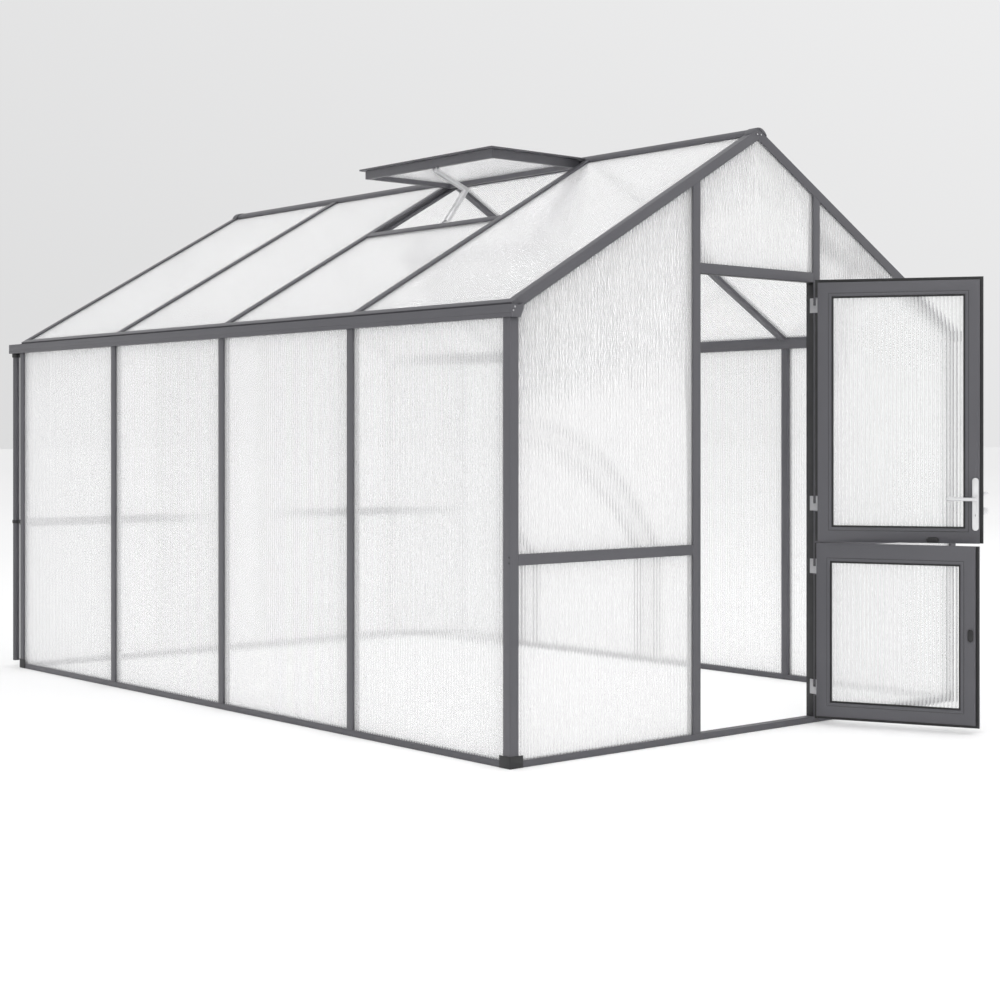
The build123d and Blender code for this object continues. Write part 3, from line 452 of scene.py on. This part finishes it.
# Gable sheets: two in each outer panel, parted by the mid rail, and one in the middle, all cut to the
# roof's slope.
bar = 0.040
bite = 0.010
door_half = 0.3335
mid_rail_z = 0.725
lintel_top = 1.867
apex_z = 2.3833
blank_top = 2.25
gutter_corner, corner_slant = (1.246, 0, 1.664), (0.052, 0, 0.024)
for end, turn, middle_foot in (("front", 0, lintel_top), ("rear", 180, 0.025)):
    low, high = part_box(end + "_gable_sheets")
    outer_y = low[1] if end == "front" else high[1]
    made = []

    def fit(x0, x1, z0, z1):
        """One sheet between two places across the gable and two heights, trimmed under the roof."""
        sign = 1 if turn == 0 else -1
        centre = Vector((sign * (x0 + x1) / 2, 0, (z0 + z1) / 2))
        edge = apex_z + bite / math.cos(slope)
        cuts = []
        for lean in (-1, 1):
            start = Vector((0, 0, edge)) - centre
            normal = Vector((lean * math.sin(slope), 0, math.cos(slope)))
            if (x0 + x1) / 2 * lean * sign > -0.1:
                cuts.append((start, normal))
        if z1 > 1.0 and abs(x0 + x1) > 0.5:
            facing = Vector((1 if centre.x > 0 else -1, 1, 1))
            start = facing * Vector(gutter_corner) - centre
            cuts.append((start, (facing * Vector(corner_slant)).normalized()))
        sheet = twin_wall(x1 - x0, z1 - z0, cuts)
        spin = Matrix.Rotation(math.radians(turn), 4, "Z")
        put(sheet, Matrix.Translation((0, outer_y, 0)) @ spin @ Matrix.Translation(centre))
        made.append(sheet)

    inner = door_half + bar - bite
    outer = 1.3 - bar + bite
    for x0, x1 in ((-outer, -inner), (inner, outer)):
        fit(x0, x1, low[2], mid_rail_z + bite)
        fit(x0, x1, mid_rail_z + bar - bite, blank_top)
    fit(-door_half - bite, door_half + bite, middle_foot - bite, high[2] + 0.001)
    glaze(end + "_gable_sheets", end + "_gable_glazing", made, "house")

# Leaf sheets and the vent's sheet: the same twin-wall, held in the grooves of their own frames.
leaf_angles = {"upper": 123.0, "lower": 114.0}
leaf_sheet_width = 0.5608
for leaf, angle in leaf_angles.items():
    low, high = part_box(leaf + "_door_sheet")
    sheet = twin_wall(leaf_sheet_width, high[2] - low[2])
    spin = Matrix.Rotation(math.radians(angle + 180), 4, "Z")
    centre = (Vector(low) + Vector(high)) / 2
    put(sheet, Matrix.Translation(centre) @ spin @ Matrix.Translation((0, -sheet_thick / 2, 0)))
    glaze(leaf + "_door_sheet", leaf + "_leaf_glazing", [sheet], leaf + "_leaf")
low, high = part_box("roof_vent_sheet")
sheet = twin_wall(high[1] - low[1], high[0] - low[0])
lay = Matrix.Rotation(-math.pi / 2, 4, "Z") @ Matrix.Rotation(-math.pi / 2, 4, "X")
middle = Vector(((low[0] + high[0]) / 2, (low[1] + high[1]) / 2, high[2]))
put(sheet, Matrix.Translation(middle) @ lay)
glaze("roof_vent_sheet", "vent_glazing", [sheet], "house")

# Moulded parts: corner feet, gutter outlets, pipe clips, turn latches and glazing beads in black plastic.
# This black serves the moulded parts and also paints shade: the doorway reveal strips, the rebate shadow
# lines, the key slot and the post screw heads.
black, nodes, links, shader = new_material("black_moulding_and_painted_shade")
place = nodes.new("ShaderNodeTexCoord")
grain = nodes.new("ShaderNodeTexNoise")
grain.inputs["Scale"].default_value = 900.0
links.new(place.outputs["Object"], grain.inputs["Vector"])
bumps = nodes.new("ShaderNodeBump")
bumps.inputs["Strength"].default_value = 0.3
bumps.inputs["Distance"].default_value = 0.0002
links.new(grain.outputs["Fac"], bumps.inputs["Height"])
links.new(bumps.outputs["Normal"], shader.inputs["Normal"])
shader.inputs["Base Color"].default_value = (0.018, 0.018, 0.019, 1.0)
shader.inputs["Roughness"].default_value = 0.5
moulded_radius = 0.0008
for node in ("corner_feet", "gutter_outlets", "downpipe_clips"):
    rounded_copy(node, node + "_moulded", moulded_radius, black, "house")
for leaf in ("upper", "lower"):
    for node, name in (("_door_latch", "_turn_latch"), ("_door_bead", "_glazing_bead")):
        rounded_copy(leaf + node, leaf + name, moulded_radius, black, leaf + "_leaf")

# Painted shade and seals: thin black strips over the door's reveal paint the shade on the posts' inner faces
# and the lintel's underside, and black rubber seals go round each leaf on the inner face of its lip. Those
# by the hinges stop short of the notches that clear the knuckles.
reveal_shade_thick = 0.001
seal_edge = 0.0003
seal_inset, seal_clear = 0.001, 0.0005
hinge_x, hinge_y = door_half, -0.040
lip, lip_face = 0.0134, 0.013
lip_seal = 0.0018
body_start, body_end = 0.0056, 0.6614
notch_reach = 0.033


def leaf_matrix(leaf):
    """From a leaf's own place, reach from the hinge, inward and up, to where the leaf stands open."""
    turn = math.radians(leaf_angles[leaf])
    return Matrix(((-math.cos(turn), -math.sin(turn), 0, hinge_x),
                   (-math.sin(turn), math.cos(turn), 0, hinge_y),
                   (0, 0, 1, 0),
                   (0, 0, 0, 1)))


def strip(low, high):
    """A straight strip between two corners, with its edges rounded."""
    low, high = Vector(low), Vector(high)
    bpy.ops.object.select_all(action="DESELECT")
    bpy.ops.mesh.primitive_cube_add(size=1, location=(low + high) / 2)
    bar_piece = bpy.context.object
    bar_piece.scale = high - low
    bpy.ops.object.transform_apply(location=True, rotation=True, scale=True)
    finish_with(bar_piece, "BEVEL", width=seal_edge, segments=2)
    return bar_piece


def join_as(name, parts, finish, body, matrix=Matrix.Identity(4)):
    """Join pieces into one named piece of one finish, put it in its place and hand it to its body."""
    activate(parts[0])
    for other in parts[1:]:
        other.select_set(True)
    if len(parts) > 1:
        bpy.ops.object.join()
    whole = bpy.context.object
    whole.name = name
    whole.data.materials.clear()
    whole.data.materials.append(finish)
    put(whole, matrix)
    bpy.ops.object.mode_set(mode="EDIT")
    bpy.ops.mesh.select_all(action="SELECT")
    bpy.ops.mesh.normals_make_consistent(inside=False)
    bpy.ops.object.mode_set(mode="OBJECT")
    bpy.ops.object.shade_smooth_by_angle(angle=smooth_angle)
    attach(whole, body)
    return whole


# The doorway strips are painted shade: black laid over the whole reveal of both posts and under the lintel.
reveal_y = (-0.019, 0.019)
sill_top, lintel_under = 0.025, 1.827
reveal_shade_strips = [strip((side * hinge_x - (side + 1) / 2 * reveal_shade_thick, reveal_y[0], sill_top),
                      (side * hinge_x - (side - 1) / 2 * reveal_shade_thick, reveal_y[1], lintel_under))
                for side in (-1, 1)]
reveal_shade_strips.append(strip((-hinge_x + reveal_shade_thick, reveal_y[0], lintel_under - reveal_shade_thick),
                          (hinge_x - reveal_shade_thick, reveal_y[1], lintel_under)))
join_as("doorway_reveal_shade", reveal_shade_strips, black, "house")
leaf_heights = {"upper": (0.754, 1.8214), "lower": (0.0344, 0.748)}
leaf_hinges = {"upper": (0.910, 1.730), "lower": (0.150, 0.650)}
for leaf, (foot, head) in leaf_heights.items():
    top = head + (lip if leaf == "upper" else 0) - seal_inset
    base = foot - (lip if leaf == "lower" else 0) + seal_inset
    face = (lip_face, lip_face + lip_seal)
    runs = [base]
    for height in leaf_hinges[leaf]:
        runs += [height - notch_reach, height + notch_reach]
    runs.append(top)
    made = [strip((body_start - lip + seal_inset, face[0], start), (body_start - seal_clear, face[1], stop))
            for start, stop in zip(runs[::2], runs[1::2])]
    made.append(strip((body_end + seal_clear, face[0], base), (body_end + lip - seal_inset, face[1], top)))
    across = (head + seal_clear, top) if leaf == "upper" else (base, foot - seal_clear)
    made.append(strip((body_start, face[0], across[0]), (body_end, face[1], across[1])))
    join_as(leaf + "_leaf_seal", made, black, leaf + "_leaf", leaf_matrix(leaf))

# Rebate lips: a low raised rim of the coated frame round each leaf's sheet, indoors, with a painted shadow
# line
# outside it: a thin black ring where the groove beside the rim is in shade.
rim_width, rim_proud, rim_edge = 0.012, 0.0016, 0.0005
line_width, line_proud = 0.0014, 0.0002
indoor_face = 0.032
glass_start, glass_end = 0.0631, 0.6039
glass_heights = {"upper": (0.814, 1.7639), "lower": (0.0919, 0.675)}


def leaf_ring(grow, height, width, proud, edge):
    """A flat ring on a leaf's indoor face, grown outward from the edge of the sheet's opening."""
    bpy.ops.object.select_all(action="DESELECT")
    bpy.ops.mesh.primitive_plane_add(size=1, rotation=(math.pi / 2, 0, 0),
                                     location=((glass_start + glass_end) / 2, indoor_face, sum(height) / 2))
    ring = bpy.context.object
    ring.scale = (glass_end - glass_start + 2 * grow, height[1] - height[0] + 2 * grow, 1)
    bpy.ops.object.transform_apply(location=True, rotation=True, scale=True)
    bpy.ops.object.mode_set(mode="EDIT")
    bpy.ops.mesh.select_all(action="SELECT")
    bpy.ops.mesh.inset(thickness=width, depth=0)
    bpy.ops.mesh.delete(type="FACE")
    bpy.ops.mesh.select_all(action="SELECT")
    bpy.ops.mesh.extrude_region_move(TRANSFORM_OT_translate={"value": (0, proud, 0)})
    bpy.ops.object.mode_set(mode="OBJECT")
    finish_with(ring, "BEVEL", width=edge, segments=2)
    return ring


for leaf, height in glass_heights.items():
    rim = leaf_ring(rim_width, height, rim_width, rim_proud, rim_edge)
    join_as(leaf + "_rebate_rim", [rim], paint, leaf + "_leaf", leaf_matrix(leaf))
    # Painted shadow: a thin black ring, barely proud, laid where the groove outside the rim is in shade.
    line = leaf_ring(rim_width + line_width, height, line_width, line_proud, line_proud / 4)
    join_as(leaf + "_rebate_shadow_line", [line], black, leaf + "_leaf", leaf_matrix(leaf))

# Bright parts: the vent's opener and its cylinder, the handle plates, the bolts and the lever, in satin
# aluminium and plated steel.
satin, nodes, links, shader = new_material("satin_metal")
place = nodes.new("ShaderNodeTexCoord")
drag = nodes.new("ShaderNodeMapping")
drag.inputs["Scale"].default_value = (300.0, 300.0, 20.0)
links.new(place.outputs["Object"], drag.inputs["Vector"])
lines = nodes.new("ShaderNodeTexNoise")
lines.inputs["Scale"].default_value = 6.0
links.new(drag.outputs["Vector"], lines.inputs["Vector"])
gloss = nodes.new("ShaderNodeMapRange")
gloss.inputs["To Min"].default_value = 0.26
gloss.inputs["To Max"].default_value = 0.42
links.new(lines.outputs["Fac"], gloss.inputs["Value"])
links.new(gloss.outputs["Result"], shader.inputs["Roughness"])
shader.inputs["Base Color"].default_value = (0.78, 0.78, 0.79, 1.0)
shader.inputs["Metallic"].default_value = 1.0
bright_radius = 0.0005
for node, body in (("vent_opener", "house"), ("opener_cylinder", "house"), ("handle_plates", "upper_leaf"),
                   ("lock_bolts", "upper_leaf")):
    rounded_copy(node, node + "_bright", bright_radius, satin, body)
lever_radius = 0.0018
rounded_copy("door_lever", "door_lever_bright", lever_radius, satin, "lever", segments=3)

# Hinges: knuckles and plates of dulled steel, screwed to the posts and the leaves.
dull, _, _, shader = new_material("dulled_steel")
shader.inputs["Base Color"].default_value = (0.42, 0.42, 0.43, 1.0)
shader.inputs["Metallic"].default_value = 1.0
shader.inputs["Roughness"].default_value = 0.48
for node, body in (("post_hinges", "house"), ("upper_door_hinges", "upper_leaf"),
                   ("lower_door_hinges", "lower_leaf")):
    rounded_copy(node, node + "_dulled", bright_radius, dull, body)

# Screws: small plated button heads with a round recess, in the end caps and the handle plates, and black
# ones in the corner posts where the mid rails are fixed, whose black is painted shade standing in for the
# dark screw holes there.
screw_radius = 0.0032
head_height, head_ring, slot_step, slot_depth, head_round = 0.8, 0.45, 0.02, 0.5, 0.2


def screws(name, places, finish, body, radius=screw_radius, matrix=Matrix.Identity(4)):
    """Screw heads, each at its place and facing its own way."""
    heads = []
    for place, facing in places:
        bpy.ops.object.select_all(action="DESELECT")
        bpy.ops.mesh.primitive_cylinder_add(vertices=20, radius=radius, depth=head_height * radius)
        head = bpy.context.object
        pick(head, lambda place: place.z > 0)
        bpy.ops.mesh.select_mode(type="FACE")
        bpy.ops.mesh.inset(thickness=head_ring * radius, depth=0)
        bpy.ops.mesh.inset(thickness=slot_step * radius, depth=-slot_depth * radius)
        bpy.ops.object.mode_set(mode="OBJECT")
        finish_with(head, "BEVEL", width=head_round * radius, segments=2, limit_method="ANGLE",
                    angle_limit=sharp_angle)
        put(head, Matrix.Translation(place) @ Vector(facing).to_track_quat("Z", "Y").to_matrix().to_4x4())
        heads.append(head)
    join_as(name, heads, finish, body, matrix)


cap_low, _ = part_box("gutter_end_caps")
ridge_low, ridge_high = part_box("ridge_end_caps")
cap_screws = []
for side in (-1, 1):
    cap_screws += [((side * 1.2909, cap_low[1], 1.6504), (0, -1, 0)),
                   ((side * 1.2978, cap_low[1], 1.6373), (0, -1, 0)),
                   ((side * 0.011, ridge_low[1], 2.404), (0, -1, 0)),
                   ((side * 0.011, ridge_high[1], 2.404), (0, 1, 0))]
screws("end_cap_screws", cap_screws, satin, "house")
# The black of these heads is painted shade, standing in for the dark screw holes in the corner posts.
rail_screws_hole_shade = [((side * 1.3, y, z), (side, 0, 0)) for side in (-1, 1) for y in (-0.014, 3.922)
               for z in (0.7345, 0.7555)]
screws("post_screws_hole_shade", rail_screws_hole_shade, black, "house")
plate_reach, plate_face = 0.6444, 0.038
plate_screws = [((plate_reach, plate_face, z), (0, 1, 0)) for z in (0.822, 1.004)]
screws("plate_screws", plate_screws, satin, "upper_leaf", matrix=leaf_matrix("upper"))

# Lock cylinder: the round end of a key cylinder in satin metal, pressed into the plate under the lever,
# with a thin black strip for the key slot, painted shade that stands in for the slot's dark recess.
barrel_radius, barrel_depth, barrel_proud = 0.0085, 0.004, 0.003
barrel_z, barrel_edge = 0.868, 0.0008
key_low, key_high = (-0.0009, 0.0028, 0.864), (0.0009, 0.0032, 0.873)
bpy.ops.object.select_all(action="DESELECT")
barrel_middle = plate_face + barrel_proud - barrel_depth / 2
bpy.ops.mesh.primitive_cylinder_add(vertices=40, radius=barrel_radius, depth=barrel_depth,
                                    rotation=(math.pi / 2, 0, 0),
                                    location=(plate_reach, barrel_middle, barrel_z))
barrel = bpy.context.object
bpy.ops.object.transform_apply(location=True, rotation=True, scale=True)
finish_with(barrel, "BEVEL", width=barrel_edge, segments=3, limit_method="ANGLE", angle_limit=sharp_angle)
join_as("lock_cylinder", [barrel], satin, "upper_leaf", leaf_matrix("upper"))
on_plate = Vector((plate_reach, plate_face, 0))
# The key slot is painted shade: a black strip on the barrel's face, with no recess cut.
key_slot_shade = strip(on_plate + Vector(key_low), on_plate + Vector(key_high))
join_as("key_slot_shade", [key_slot_shade], black, "upper_leaf", leaf_matrix("upper"))
